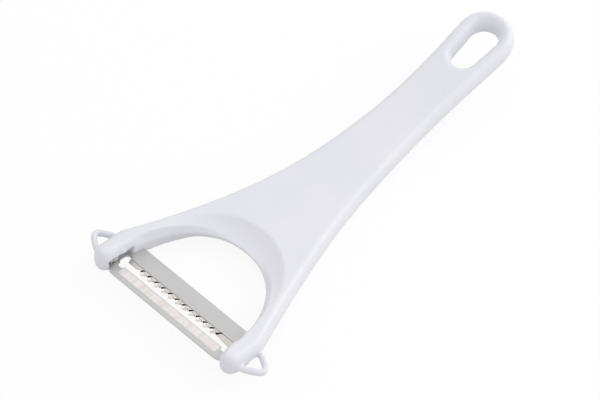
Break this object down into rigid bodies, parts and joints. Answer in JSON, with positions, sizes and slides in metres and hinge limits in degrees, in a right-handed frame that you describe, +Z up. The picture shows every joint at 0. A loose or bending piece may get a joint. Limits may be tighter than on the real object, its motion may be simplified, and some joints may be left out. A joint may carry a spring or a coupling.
{
  "type": "julienne cutter",
  "caption": "Y-shaped julienne peeler: bowed plastic handle with a hang slot, forked arms with side loops, and a swivelling steel blade with a cutting edge and a row of shredding teeth.",
  "frame": {"origin": "middle of the bounding box in plan, on the surface that the belly of the handle rests on", "axes": "+X along the blade, +Y along the handle from the blade to the hang slot, +Z up, away from the surface"},
  "size_m": [0.0842, 0.179, 0.0212],
  "materials": {
    "white_plastic": "white moulded plastic, satin gloss",
    "blade_steel": "stamped stainless sheet with a brighter ground bevel",
    "pin_steel": "turned stainless steel"
  },
  "bodies": {
    "handle": {"handle_frame": "white_plastic"},
    "blade": {"julienne_blade": "blade_steel", "left_pivot_pin": "pin_steel", "right_pivot_pin": "pin_steel"}
  },
  "joints": [
    {"name": "blade_swivel", "type": "hinge", "parent": "handle", "child": "blade", "pos_m": [0, -0.08328, 0.00985], "axis": [1, 0, 0], "range_deg": [-22, 22]}
  ]
}
